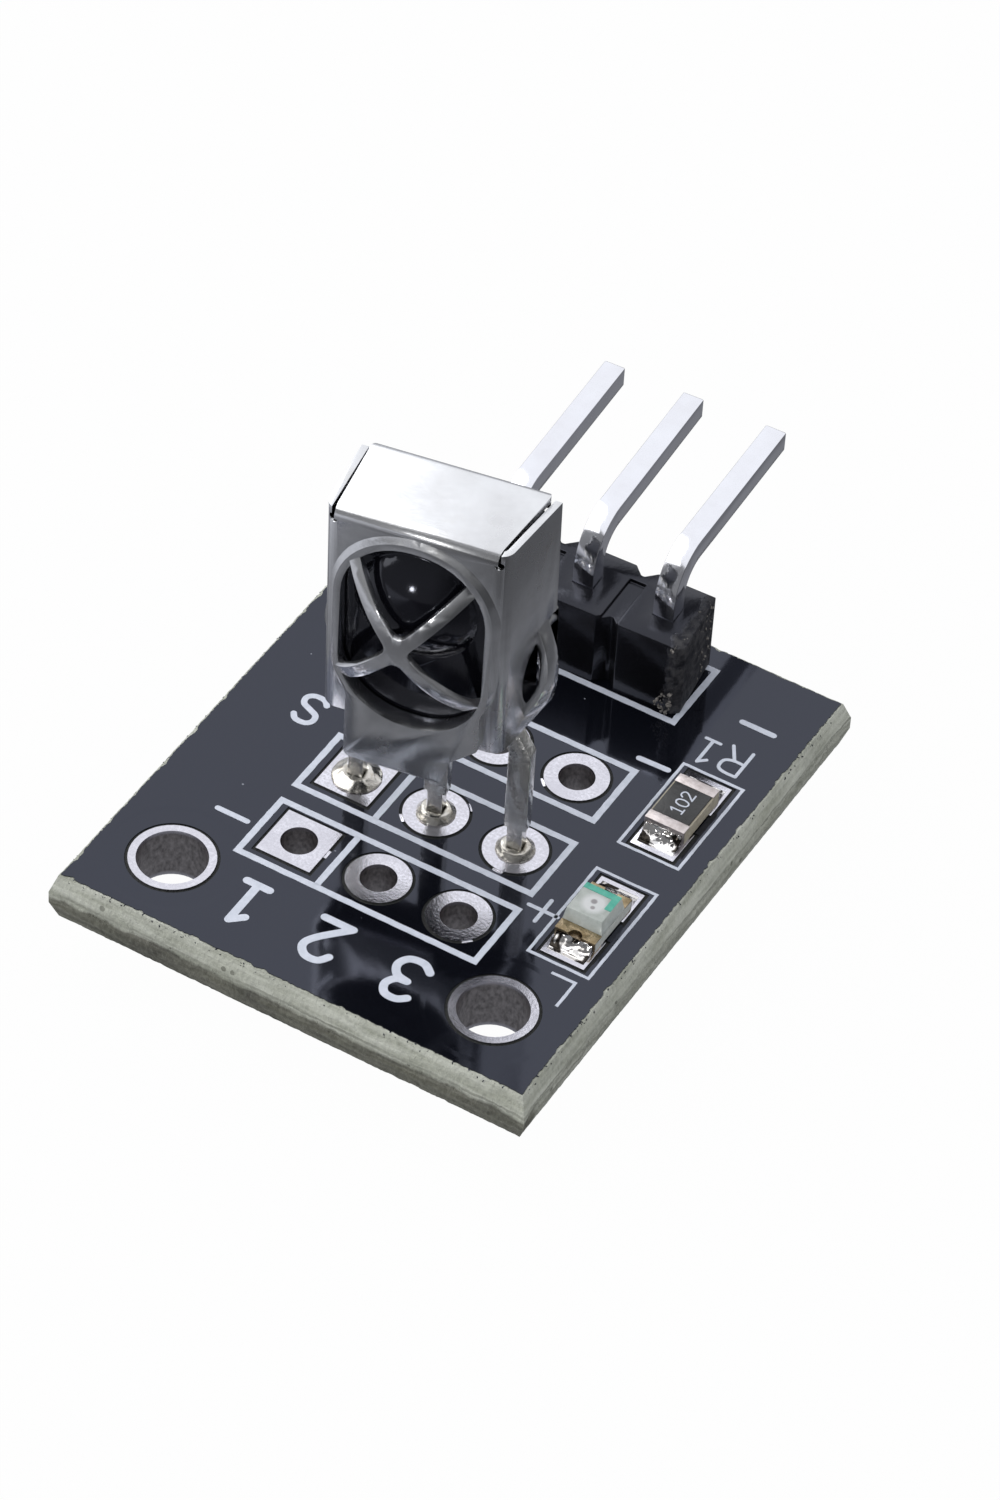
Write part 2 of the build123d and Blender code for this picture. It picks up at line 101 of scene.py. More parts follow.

# Painted shade inside the can begins this far behind the front, in from its sides and below its top.
# Faces that look to the rear get painted shade up to this depth.
shade_margin = (0.13, 0.1, 0.12)
rear_shade_depth = 0.5

# Body's side that fills the splay, and how much of it
body_side = 2.0
body_share = 0.9

# Drawn rim's middle height, how proud it stands there and its lean
rim_middle = 3.45
rim_proud = 0.24
rim_lean = 0.0467

# Louvres: where they begin, their swell, fall and tuck, and where the tuck begins and ends
louvre_front = 1.4
louvre_swell = 0.15
louvre_fall = 0.6
louvre_tuck = 0.75
left_tuck = 0.35
tuck_front = 2.1
tuck_reach = 0.35

header_end = 3.35

# Angle in degrees above which an edge counts as sharp
usual_crease = 28.0
shield_crease = 15.0

# Pale round patch and two bonds seen in the lamp's resin: x, y, radius, share and colour
led_spots = [
    (0.02, -0.05, 0.42, 0.9, (0.92, 0.93, 0.93, 1)),
    (-0.02, 0.02, 0.11, 0.8, (0.3, 0.27, 0.28, 1)),
    (0.06, -0.2, 0.08, 0.8, (0.36, 0.33, 0.33, 1)),
]

# Floor's half width, in metres
floor_half = 1.5

# Camera
camera_place = (58.253, -100.205, 124.785)
camera_turn = (44.944, -2.748, 30.851)
camera_lens = 151.036


def node_centre(name):
    """A node's middle in plan, in millimetres."""
    low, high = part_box(name)
    middle = (low + high) / 2 / MM
    return Vector((middle.x, middle.y))


board_low, board_high = (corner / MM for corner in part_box("board_core"))
board_top = board_high.z
mask_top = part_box("solder_mask_top")[1].z / MM
mounting_rings = ("mounting_ring_left", "mounting_ring_right")
small_holes = [row + way for row in "abch" for way in "123"]
row_y = {row: node_centre(f"pad_{row}2").y for row in "abch"}
way_x = {way: node_centre(f"pad_a{way}").x for way in "123"}
resistor_centre = node_centre("resistor_ceramic")
led_centre = node_centre("led_base")
receiver_place = (
    Matrix.Translation(receiver_origin)
    @ Matrix.Rotation(math.radians(receiver_yaw), 4, "Z")
    @ Matrix.Rotation(math.radians(receiver_roll), 4, "Y")
)


# Node trees
def node(tree, kind, inputs=None, **settings):
    """A node with its settings, and its inputs set or joined."""
    made = tree.nodes.new(kind)
    for key, value in settings.items():
        setattr(made, key, value)
    for key, value in (inputs or {}).items():
        if isinstance(value, bpy.types.NodeSocket):
            tree.links.new(value, made.inputs[key])
        else:
            made.inputs[key].default_value = value
    return made


def add(tree, kind, inputs=None, **settings):
    return node(tree, "ShaderNode" + kind, inputs, **settings)


def calc(tree, operation, a, b=0.0):
    return add(tree, "Math", {0: a, 1: b}, operation=operation).outputs[0]


def times(tree, a, b):
    return calc(tree, "MULTIPLY", a, b)


def plus(tree, a, b):
    return calc(tree, "ADD", a, b)


def span(tree, value, low, high, start=0.0, end=1.0):
    """Maps a value from one range to another and keeps it between the ends."""
    inputs = {"Value": value, "From Min": low, "From Max": high, "To Min": start, "To Max": end}
    return add(tree, "MapRange", inputs).outputs["Result"]


def tint(tree, share, first, second):
    """A colour between two, by share."""
    return add(tree, "Mix", {0: share, 6: first, 7: second}, data_type="RGBA").outputs[2]


def place(tree):
    return add(tree, "TexCoord").outputs["Object"]


def parts_of(tree, vector):
    """A vector's X, Y and Z."""
    return add(tree, "SeparateXYZ", {0: vector}).outputs


def effect(name, inputs, outputs, build):
    """A shader group with number inputs, made once and used by several materials."""
    group = bpy.data.node_groups.new(name, "ShaderNodeTree")
    for label, value in inputs.items():
        kind = "NodeSocketVector" if isinstance(value, tuple) else "NodeSocketFloat"
        group.interface.new_socket(label, in_out="INPUT", socket_type=kind).default_value = value
    for label in outputs:
        group.interface.new_socket(label, in_out="OUTPUT", socket_type="NodeSocketFloat")
    entry = group.nodes.new("NodeGroupInput")
    leave = group.nodes.new("NodeGroupOutput")
    for label, value in build(group, entry.outputs).items():
        group.links.new(value, leave.inputs[label])
    return group


def use(tree, group, **values):
    """The outputs of a group placed in a material with its own values."""
    made = tree.nodes.new("ShaderNodeGroup")
    made.node_tree = group
    for label, value in values.items():
        made.inputs[label].default_value = value
    return made.outputs


def build_mottle(tree, given):
    """Cloudy patches from 0 to 1."""
    inputs = {"Vector": place(tree), "Scale": given["Scale"], "Detail": 5.0, "Roughness": 0.6}
    cloud = add(tree, "TexNoise", inputs)
    return {"Value": span(tree, cloud.outputs[0], given["Low"], given["High"])}


def build_streaks(tree, given):
    """Fine lines drawn out along one axis, from 0 to 1."""
    drawn_out = add(tree, "Mapping", {"Vector": place(tree), "Scale": given["Stretch"]}).outputs[0]
    lines = add(tree, "TexNoise", {"Vector": drawn_out, "Scale": given["Scale"], "Detail": 4.0})
    return {"Value": span(tree, lines.outputs[0], given["Low"], given["High"])}


def build_specks(tree, given):
    """Sparse round grains of uneven size, as a mask."""
    cells = add(tree, "TexVoronoi", {"Vector": place(tree), "Scale": given["Scale"]})
    chance = add(tree, "SeparateColor", {0: cells.outputs["Color"]})
    radius = times(tree, chance.outputs[1], given["Size"])
    inside = calc(tree, "LESS_THAN", cells.outputs["Distance"], radius)
    chosen = calc(tree, "LESS_THAN", chance.outputs[0], given["Share"])
    return {"Mask": times(tree, inside, chosen)}


mottle = effect("mottle", {"Scale": 2000.0, "Low": 0.3, "High": 0.7}, ["Value"], build_mottle)
stretched = {"Scale": 2000.0, "Low": 0.3, "High": 0.7, "Stretch": (1.0, 1.0, 1.0)}
streaks = effect("streaks", stretched, ["Value"], build_streaks)
specks = effect("specks", {"Scale": 2000.0, "Size": 0.2, "Share": 0.1}, ["Mask"], build_specks)


def clouds(tree, scale, low=0.3, high=0.7):
    return use(tree, mottle, Scale=scale, Low=low, High=high)[0]


def drawn(tree, scale, stretch, low=0.3, high=0.7):
    return use(tree, streaks, Scale=scale, Low=low, High=high, Stretch=stretch)[0]


def dots(tree, scale, size, share):
    return use(tree, specks, Scale=scale, Size=size, Share=share)[0]


finishes = {}


def finish(name, constants):
    """Makes and keeps a material with one Principled shader, whose constants are set on its sockets."""
    made = bpy.data.materials.new(name)
    made.use_nodes = True
    tree = made.node_tree
    tree.nodes.clear()
    shader = add(tree, "BsdfPrincipled", constants)
    out = tree.nodes.new("ShaderNodeOutputMaterial")
    tree.links.new(shader.outputs[0], out.inputs[0])
    finishes[name] = made
    return tree, shader


def feed(tree, shader, **sockets):
    """Joins values to the shader's sockets, named with underscores."""
    for label, value in sockets.items():
        tree.links.new(value, shader.inputs[label.replace("_", " ")])


def bump(tree, height, distance):
    """A normal from a height, with its depth in millimetres."""
    inputs = {"Height": height, "Distance": distance * MM, "Strength": 1.0}
    return add(tree, "Bump", inputs).outputs[0]


# Materials
def metal(name, bright, dark, rough, patch_scale, dent=0.004, brush=0.1, stretch=(1, 1, 1), soil=0.0):
    """Tinned metal: cloudy tone, uneven gloss, slow waves, faint drawn lines and some soil."""
    tree, shader = finish(name, {"Metallic": 1.0})
    cloud = clouds(tree, patch_scale, 0.3, 0.72)
    fine = clouds(tree, patch_scale * 6, 0.35, 0.65)
    lines = drawn(tree, 7000.0, stretch)
    tone = times(tree, cloud, span(tree, lines, 0, 1, 1 - brush, 1.0))
    base = tint(tree, tone, dark, bright)
    if soil:
        flux = clouds(tree, patch_scale * 1.7, 0.54, 0.64)
        base = tint(tree, times(tree, flux, soil), base, (0.3, 0.24, 0.14, 1))
    gloss = plus(tree, times(tree, fine, 0.5), times(tree, cloud, 0.5))
    height = plus(tree, cloud, times(tree, fine, 0.12))
    height = plus(tree, height, times(tree, lines, brush * 0.2))
    feed(
        tree, shader,
        Base_Color=base,
        Roughness=span(tree, gloss, 0, 1, rough[1], rough[0]),
        Normal=bump(tree, height, dent),
    )


def plating():
    """Satin tinned lands; the walls of the bores are dull and drawn along the drill, and painted dark as
    shade inside the holes.
    """
    tree, shader = finish("tinned_copper", {"Metallic": 1.0})
    height = parts_of(tree, place(tree))["Z"]
    middle = calc(tree, "ABSOLUTE", calc(tree, "SUBTRACT", height, board_top / 2 * MM))
    wall = span(tree, middle, (board_top / 2 - 0.1) * MM, (board_top / 2 + 0.02) * MM, 1.0, 0.0)
    cloud = clouds(tree, 1500.0)
    fine = clouds(tree, 12000.0, 0.35, 0.65)
    drill = drawn(tree, 9000.0, (1.0, 1.0, 0.6))
    land = tint(tree, times(tree, cloud, fine), (0.68, 0.67, 0.73, 1), (0.92, 0.91, 0.98, 1))
    # The bores' walls get a tone painted dark as shade inside the holes, streaked with drill lines.
    shaded_bore = tint(tree, drill, (0.27, 0.255, 0.255, 1), (0.6, 0.57, 0.57, 1))
    relief = plus(tree, fine, times(tree, times(tree, wall, drill), 4.0))
    polish = span(tree, cloud, 0, 1, 0.16, 0.08)
    feed(
        tree, shader,
        Base_Color=tint(tree, wall, land, shaded_bore),
        Roughness=plus(tree, polish, times(tree, wall, 0.25)),
        Normal=bump(tree, relief, 0.0012),
    )


def shield_tin():
    """Smooth tinned sheet, faintly clouded, with painted shade inside the can."""
    tree, shader = finish("shield_tin", {"Metallic": 1.0})
    turn = (0.0, math.radians(receiver_roll), math.radians(receiver_yaw))
    origin = tuple(part * MM for part in receiver_origin)
    inward = {"Vector": place(tree), "Location": origin, "Rotation": turn}
    local = add(tree, "Mapping", inward, vector_type="TEXTURE").outputs[0]
    spot = parts_of(tree, local)
    # Painted shade: faces inside the can, and rear-facing faces near the front, are tinted near-black.
    deep, aside, under = shade_margin
    behind = calc(tree, "GREATER_THAN", spot["Y"], deep * MM)
    splay = times(tree, spot["Y"], math.tan(math.radians(can_splay)))
    squared = calc(tree, "SUBTRACT", spot["X"], splay)
    right = calc(tree, "LESS_THAN", squared, (can_width / 2 - aside) * MM)
    left = calc(tree, "GREATER_THAN", spot["X"], (aside - can_width / 2) * MM)
    below = calc(tree, "LESS_THAN", spot["Z"], (can_height - under) * MM)
    between = times(tree, right, left)
    inside = times(tree, times(tree, behind, below), between)
    rearward = (-math.sin(turn[2]), math.cos(turn[2]), 0.0)
    facing = {0: add(tree, "NewGeometry").outputs["True Normal"], 1: rearward}
    facing = add(tree, "VectorMath", facing, operation="DOT_PRODUCT").outputs["Value"]
    front = calc(tree, "LESS_THAN", spot["Y"], rear_shade_depth * MM)
    rear_shade = times(tree, calc(tree, "GREATER_THAN", facing, 0.25), front)
    inside = calc(tree, "MAXIMUM", inside, rear_shade)
    cloud = clouds(tree, 420.0, 0.3, 0.72)
    flux = clouds(tree, 700.0, 0.58, 0.7)
    face = tint(tree, cloud, (0.72, 0.72, 0.73, 1), (0.97, 0.98, 1.0, 1))
    face = tint(tree, times(tree, flux, 0.12), face, (0.4, 0.33, 0.22, 1))
    # The inside mask turns the base colour near-black as painted shade.
    feed(
        tree, shader,
        Base_Color=tint(tree, inside, face, (0.05, 0.05, 0.055, 1)),
        Roughness=span(tree, cloud, 0, 1, 0.3, 0.18),
        Normal=bump(tree, cloud, 0.011),
    )


def solder_mask():
    """Glossy black lacquer with a slight orange peel, the relief of the copper below and dust."""
    constants = {"IOR": 1.72, "Specular Tint": (0.74, 0.79, 1.0, 1)}
    tree, shader = finish("solder_mask", constants)
    dust = dots(tree, 2600.0, 0.1, 0.04)
    lint = dots(tree, 900.0, 0.06, 0.03)
    dirt = calc(tree, "MAXIMUM", dust, lint)
    peel = clouds(tree, 900.0, 0.2, 0.8)
    copper = times(tree, copper_relief(tree), 0.25)
    relief = plus(tree, times(tree, peel, 0.12), copper)
    height = plus(tree, relief, times(tree, dirt, 0.5))
    feed(
        tree, shader,
        Base_Color=tint(tree, dirt, (0.004, 0.0045, 0.007, 1), (0.22, 0.23, 0.26, 1)),
        Roughness=span(tree, dirt, 0, 1, 0.07, 0.6),
        Normal=bump(tree, height, 0.012),
    )


def copper_relief(tree):
    """The copper below the lacquer stops short of each mounting hole, which shows as a low step."""
    heights = []
    for ring in mounting_rings:
        x, y = node_centre(ring) * MM
        away = add(tree, "VectorMath", {0: place(tree), 1: (x, y, board_top * MM)}, operation="DISTANCE")
        heights.append(span(tree, away.outputs["Value"], *(end * MM for end in copper_end)))
    return times(tree, heights[0], heights[1])


def chip_solder():
    """Bright solder with a few large hollows, painted near-black as shade."""
    tree, shader = finish("chip_solder", {"Metallic": 1.0})
    waves = add(tree, "TexNoise", {"Vector": place(tree), "Scale": 2200.0, "Detail": 1.0, "Distortion": 0.6})
    # Painted shade: near-black patches laid over the solder where the waves run high.
    dark = span(tree, waves.outputs[0], 0.5, 0.56)
    cloud = clouds(tree, 1500.0)
    bright = tint(tree, cloud, (0.66, 0.62, 0.58, 1), (0.96, 0.96, 0.97, 1))
    feed(
        tree, shader,
        Base_Color=tint(tree, dark, bright, (0.03, 0.026, 0.022, 1)),
        Roughness=span(tree, cloud, 0, 1, 0.2, 0.1),
        Normal=bump(tree, waves.outputs[0], 0.06),
    )


def dull(name, dark, bright, rough, patch_scale, dent=0.0, **constants):
    """A cloudy finish between two tones; its roughness is one value, or wanders between two."""
    wanders = isinstance(rough, tuple)
    tree, shader = finish(name, constants if wanders else {"Roughness": rough})
    cloud = clouds(tree, patch_scale)
    sockets = {"Base_Color": tint(tree, cloud, dark, bright)}
    if wanders:
        sockets["Roughness"] = span(tree, cloud, 0, 1, *rough)
    if dent:
        sockets["Normal"] = bump(tree, cloud, dent)
    feed(tree, shader, **sockets)


def glass_epoxy():
    """Scored and snapped laminate, with a painted lit tone above the web and painted shade below, the shade
    kept mostly to the front edge; its face is dark beside the pads.
    """
    tree, shader = finish("glass_epoxy", {"Roughness": 0.62, "Specular IOR Level": 0.4})
    spot = parts_of(tree, place(tree))
    layers = drawn(tree, 5200.0, (0.12, 0.12, 1.0), 0.35, 0.65)
    fibres = drawn(tree, 9000.0, (1.0, 1.0, 0.5))
    cloud = clouds(tree, 700.0)
    grime = dots(tree, 3600.0, 0.45, 0.08)
    # Painted light and shade: a lit tone for the upper part of the edge and a shaded tone for the lower part.
    lit_upper = tint(tree, layers, (0.29, 0.3, 0.25, 1), (0.54, 0.55, 0.49, 1))
    shaded_lower = tint(tree, layers, (0.055, 0.053, 0.043, 1), (0.15, 0.145, 0.12, 1))
    ragged = plus(tree, spot["Z"], times(tree, cloud, 0.12 * MM))
    # The painted shade of the lower part is lifted away from the front edge.
    shade_lift = span(tree, spot["Y"], (board_low.y + 0.5) * MM, (board_low.y + 0.8) * MM, 0.0, 0.75)
    high = calc(tree, "MAXIMUM", span(tree, ragged, lit_from * MM, lit_to * MM), shade_lift)
    body = tint(tree, high, shaded_lower, lit_upper)
    pale = times(tree, span(tree, high, 0, 1, 0.35, 1.0), times(tree, fibres, 0.35))
    body = tint(tree, pale, body, (0.66, 0.68, 0.58, 1))
    body = tint(tree, times(tree, cloud, 0.2), body, (0.36, 0.37, 0.27, 1))
    for height in (score_depth, board_top - score_depth):
        off = calc(tree, "ABSOLUTE", calc(tree, "SUBTRACT", ragged, (height + seam_rise) * MM))
        seam = times(tree, span(tree, off, 0.03 * MM, 0.07 * MM, 0.55, 0.0), layers)
        body = tint(tree, seam, body, (0.09, 0.09, 0.06, 1))
    body = tint(tree, times(tree, grime, 0.6), body, (0.09, 0.09, 0.07, 1))
    across = calc(tree, "ABSOLUTE", spot["X"])
    middle, half = (board_low.y + board_high.y) / 2, (board_high.y - board_low.y) / 2
    along = calc(tree, "ABSOLUTE", calc(tree, "SUBTRACT", spot["Y"], middle * MM))
    within = calc(tree, "LESS_THAN", across, (board_high.x - face_margin) * MM)
    within = times(tree, within, calc(tree, "LESS_THAN", along, (half - face_margin) * MM))
    body = tint(tree, within, body, (0.012, 0.013, 0.012, 1))
    height = plus(tree, fibres, times(tree, layers, 0.5))
    feed(tree, shader, Base_Color=body, Normal=bump(tree, height, 0.03))


def black_epoxy():
    tree, shader = finish("black_epoxy", {"IOR": 1.6, "Specular Tint": (0.85, 0.88, 1.0, 1)})
    lines = drawn(tree, 2600.0, (1.0, 1.0, 0.08))
    dust = dots(tree, 3600.0, 0.2, 0.12)
    feed(
        tree, shader,
        Base_Color=tint(tree, dust, (0.004, 0.004, 0.006, 1), (0.12, 0.12, 0.13, 1)),
        Roughness=span(tree, lines, 0, 1, 0.07, 0.14),
        Normal=bump(tree, lines, 0.003),
    )


def header_plastic():
    """Black moulded nylon, rough and grey where the strip was snapped off at its right end."""
    tree, shader = finish("header_plastic", {"IOR": 1.55, "Specular Tint": (0.8, 0.83, 1.0, 1)})
    spot = parts_of(tree, place(tree))
    ragged = clouds(tree, 1800.0)
    reach = plus(tree, spot["X"], times(tree, ragged, 0.3 * MM))
    torn = span(tree, reach, (header_end - 0.05) * MM, (header_end + 0.1) * MM)
    fine = clouds(tree, 9000.0)
    coarse = clouds(tree, 3500.0, 0.4, 0.6)
    crumbled = times(tree, torn, coarse)
    height = plus(tree, times(tree, fine, 0.08), crumbled)
    feed(
        tree, shader,
        Base_Color=tint(tree, crumbled, (0.005, 0.005, 0.006, 1), (0.045, 0.043, 0.042, 1)),
        Roughness=span(tree, torn, 0, 1, 0.15, 0.75),
        Normal=bump(tree, height, 0.03),
    )


def led_resin():
    """Milky resin, whiter over the chip and its two bonds."""
    tree, shader = finish("led_resin", {"Transmission Weight": 0.2, "IOR": 1.5})
    cloud = clouds(tree, 4000.0)
    body = tint(tree, cloud, (0.5, 0.54, 0.5, 1), (0.68, 0.72, 0.68, 1))
    for x, y, radius, share, colour in led_spots:
        spot = (led_centre.x * MM + x * MM, led_centre.y * MM + y * MM, 0.0)
        flat = add(tree, "VectorMath", {0: place(tree), 1: (1.0, 1.0, 0.0)}, operation="MULTIPLY")
        away = add(tree, "VectorMath", {0: flat.outputs[0], 1: spot}, operation="DISTANCE").outputs["Value"]
        soft = span(tree, away, radius * 0.6 * MM, radius * MM, share, 0.0)
        body = tint(tree, soft, body, colour)
    feed(
        tree, shader,
        Base_Color=body,
        Roughness=span(tree, cloud, 0, 1, 0.08, 0.16),
        Normal=bump(tree, cloud, 0.006),
    )


solder_mask()
dull("white_print", (0.56, 0.6, 0.68, 1), (0.68, 0.71, 0.8, 1), (0.5, 0.35), 5000.0, 0.005)
glass_epoxy()
black_epoxy()
header_plastic()
dull("alumina", (0.34, 0.3, 0.22, 1), (0.5, 0.46, 0.36, 1), 0.5, 7000.0, 0.006)
dull("resistor_coat", (0.01, 0.01, 0.01, 1), (0.02, 0.02, 0.02, 1), (0.25, 0.4), 6000.0, 0.006, IOR=1.6)
dull("led_substrate", (0.5, 0.52, 0.48, 1), (0.68, 0.7, 0.66, 1), 0.45, 6000.0)
led_resin()
dull("led_chip", (0.16, 0.12, 0.13, 1), (0.34, 0.28, 0.3, 1), 0.4, 14000.0)
dull("green_paint", (0.06, 0.4, 0.3, 1), (0.14, 0.52, 0.4, 1), 0.4, 6000.0)
dull("snapped_plastic", (0.06, 0.057, 0.054, 1), (0.27, 0.25, 0.23, 1), 0.8, 9000.0, 0.01)
plating()
metal(
    "pin_tin", (0.94, 0.95, 1.0, 1), (0.86, 0.86, 0.9, 1), (0.08, 0.18), 900.0, 0.002, 0.1,
    stretch=(1.0, 0.05, 0.05),
)
shield_tin()
metal(
    "lead_tin", (0.92, 0.92, 0.91, 1), (0.62, 0.61, 0.58, 1), (0.12, 0.3), 1300.0, 0.02, 0.2,
    stretch=(1.0, 1.0, 0.1), soil=0.12,
)
metal("solder", (0.9, 0.88, 0.83, 1), (0.5, 0.47, 0.42, 1), (0.14, 0.3), 900.0, 0.02, 0.0, soil=0.4)
chip_solder()
metal("cap_tin", (0.84, 0.77, 0.76, 1), (0.55, 0.49, 0.47, 1), (0.25, 0.45), 4200.0, 0.01)
metal("gilt", (0.62, 0.5, 0.33, 1), (0.22, 0.16, 0.08, 1), (0.2, 0.4), 3000.0, 0.02)


# Making pieces
def linked(name, data):
    """A new object of the data, in the scene."""
    made = bpy.data.objects.new(name, data)
    bpy.context.scene.collection.objects.link(made)
    return made


def piece(name, mesh, slot, *nodes):
    """Gives a finished mesh its material and its ride."""
    made = linked(name, mesh)
    mesh.materials.clear()
    mesh.materials.append(finishes[slot])
    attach(made, "root")
    if nodes:
        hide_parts(*nodes)
    return made


def closed(shape, name):
    """A mesh from a bmesh in millimetres, merged, turned outwards and brought to metres."""
    bmesh.ops.remove_doubles(shape, verts=shape.verts, dist=1e-5)
    bmesh.ops.recalc_face_normals(shape, faces=shape.faces)
    shape.transform(Matrix.Scale(MM, 4))
    mesh = bpy.data.meshes.new(name)
    shape.to_mesh(mesh)
    shape.free()
    return mesh


def solid_copy(name):
    """A merged bmesh of a node's own mesh, in millimetres, with its flat faces joined up."""
    shape = bmesh.new()
    shape.from_mesh(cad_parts[name].data)
    shape.transform(Matrix.Scale(1 / MM, 4))
    bmesh.ops.remove_doubles(shape, verts=shape.verts, dist=1e-4)
    bmesh.ops.dissolve_limit(shape, angle_limit=math.radians(0.5), verts=shape.verts, edges=shape.edges)
    return shape


def dressed(name, slot, edge):
    """Stands for a node with the same form, softened edges and smooth curves."""
    mesh = closed(solid_copy(name), f"{name}_finished")
    mesh.shade_smooth()
    made = piece(f"{name}_finished", mesh, slot, name)
    if edge:
        soften(made, edge)
    else:
        mesh.set_sharp_from_angle(angle=math.radians(usual_crease))


def soften(made, edge, crease=usual_crease):
    bevel = made.modifiers.new("edges", "BEVEL")
    bevel.width = edge * MM
    bevel.segments = 2
    bevel.limit_method = "ANGLE"
    bevel.angle_limit = math.radians(crease)
    bevel.harden_normals = True


def remeshed(name, voxel):
    """A bmesh of a node in millimetres with an even fine mesh, ready to be worked."""
    carrier = linked("carrier", closed(solid_copy(name), "raw"))
    remesh = carrier.modifiers.new("remesh", "REMESH")
    remesh.mode = "VOXEL"
    remesh.voxel_size = voxel * MM
    fine = baked(carrier)
    shape = bmesh.new()
    shape.from_mesh(fine)
    shape.transform(Matrix.Scale(1 / MM, 4))
    bpy.data.meshes.remove(fine)
    return shape


def lumpy(name, slot, voxel, heave):
    """Stands for a solder joint with an uneven, frozen skin."""
    shape = remeshed(name, voxel)
    shape.normal_update()
    lowest = min(vert.co.z for vert in shape.verts)
    moves = []
    for vert in shape.verts:
        lift = 0.6 * grain(vert.co, 2.6, 5) + 0.4 * grain(vert.co, 7.0, 8) - 0.2
        moves.append(vert.normal * heave * lift * ease(vert.co.z, lowest, lowest + 0.1))
    for vert, move in zip(shape.verts, moves):
        vert.co += move
    mesh = closed(shape, f"{name}_frozen")
    mesh.shade_smooth()
    piece(f"{name}_frozen", mesh, slot, name)


def baked(carrier):
    """The evaluated mesh of an object, which is then removed."""
    bpy.context.view_layer.update()
    graph = bpy.context.evaluated_depsgraph_get()
    mesh = bpy.data.meshes.new_from_object(carrier.evaluated_get(graph))
    bpy.data.objects.remove(carrier)
    return mesh


def grain(point, scale, seed=0.0):
    """Smooth noise from -1 to 1 at a point in millimetres."""
    return noise.noise(Vector(point) * scale + Vector((seed, seed * 1.7, seed * 2.3)))


def ease(value, low, high):
    """0 below low, 1 above high and smooth between."""
    share = min(1.0, max(0.0, (value - low) / (high - low)))
    return share * share * (3 - 2 * share)


# Receiver's shield
def leaned(spot):
    """How far a point of the drawn rim, cross or apron moves so that the rim leans out at its foot."""
    proud = rim_proud + rim_lean * (spot.z - rim_middle)
    share = 1.0 if spot.z < apron_top else min(1.0, max(0.0, -spot.y / proud))
    return 2 * rim_lean * (spot.z - rim_middle) * share


def shield():
    """The folded can, whose rim stands out at its foot and whose louvres fall away to the rear."""
    shape = solid_copy("receiver_shield")
    inward = receiver_place.inverted()
    for vert in shape.verts:
        spot = inward @ vert.co
        if spot.y < front_sheet or spot.z < apron_top:
            spot.y += leaned(spot)
            vert.co = receiver_place @ spot
            continue
        side = 1 if spot.x > 0 else -1
        turn = math.radians(can_splay) if side > 0 else 0.0
        across = side * spot.x - can_width / 2
        out = across * math.cos(turn) - spot.y * math.sin(turn)
        depth = across * math.sin(turn) + spot.y * math.cos(turn)
        if out < 0.005 or depth < louvre_front:
            continue
        change = out * (louvre_swell - louvre_fall * ease(depth, louvre_front, can_depth))
        tuck = louvre_tuck if side > 0 else left_tuck * louvre_tuck
        change -= tuck * ease(depth, tuck_front, can_depth) * ease(out, 0.0, tuck_reach)
        spot.x += side * change * math.cos(turn)
        spot.y -= change * math.sin(turn)
        vert.co = receiver_place @ spot
    mesh = closed(shape, "shield_can")
    mesh.shade_smooth()
    soften(piece("shield_can", mesh, "shield_tin", "receiver_shield"), 0.03, shield_crease)


def body():
    """The black body, which fills the can out to its splayed right side."""
    shape = solid_copy("receiver_body")
    inward = receiver_place.inverted()
    for vert in shape.verts:
        spot = inward @ vert.co
        if spot.x > body_side:
            spot.x += spot.y * math.sin(math.radians(can_splay)) * body_share
            vert.co = receiver_place @ spot
    mesh = closed(shape, "receiver_moulding")
    mesh.shade_smooth()
    soften(piece("receiver_moulding", mesh, "black_epoxy", "receiver_body"), 0.03)


# Flat outlines
def box_outline(centre, width, depth):
    x, y = centre
    corners = ((-1, -1), (1, -1), (1, 1), (-1, 1))
    return [Vector((x + i * width / 2, y + j * depth / 2)) for i, j in corners]


def round_outline(centre, radius):
    turns = [2 * math.pi * i / hole_segments for i in range(hole_segments)]
    return [Vector(centre) + radius * Vector((math.cos(a), math.sin(a))) for a in turns]


def wavy(outline, amount=0.012, step=0.12):
    """The outline cut into short steps that waver as an inked edge does."""
    points = []
    for start, end in zip(outline, outline[1:] + outline[:1]):
        count = max(1, round((end - start).length / step))
        for i in range(count):
            point = start.lerp(end, i / count)
            shift = Vector((grain((*point, 0), 5, 3), grain((*point, 0), 5, 9)))
            points.append(point + amount * shift)
    return points


def triangulated(solids, holes):
    """Points and triangles of the outlines, joined where they overlap, less the holes."""
    points, loops = [], []
    for outline in solids + holes:
        area = sum(a.cross(b) for a, b in zip(outline, outline[1:] + outline[:1]))
        ordered = outline if area > 0 else outline[::-1]
        loops.append(list(range(len(points), len(points) + len(ordered))))
        points.extend(ordered)
    found, _, faces, _, _, sources = delaunay_2d_cdt(points, [], loops, 1, 1e-6)
    count = len(solids)
    kept = [face for face, source in zip(faces, sources) if source and max(source) < count]
    return found, kept


def drop_loose(shape):
    loose = [v for v in shape.verts if not v.link_faces]
    bmesh.ops.delete(shape, geom=loose, context="VERTS")


def wall(shape, low, high):
    """Faces between two closed rows of vertices."""
    for i in range(len(low)):
        j = (i + 1) % len(low)
        shape.faces.new((low[i], low[j], high[j], high[i]))


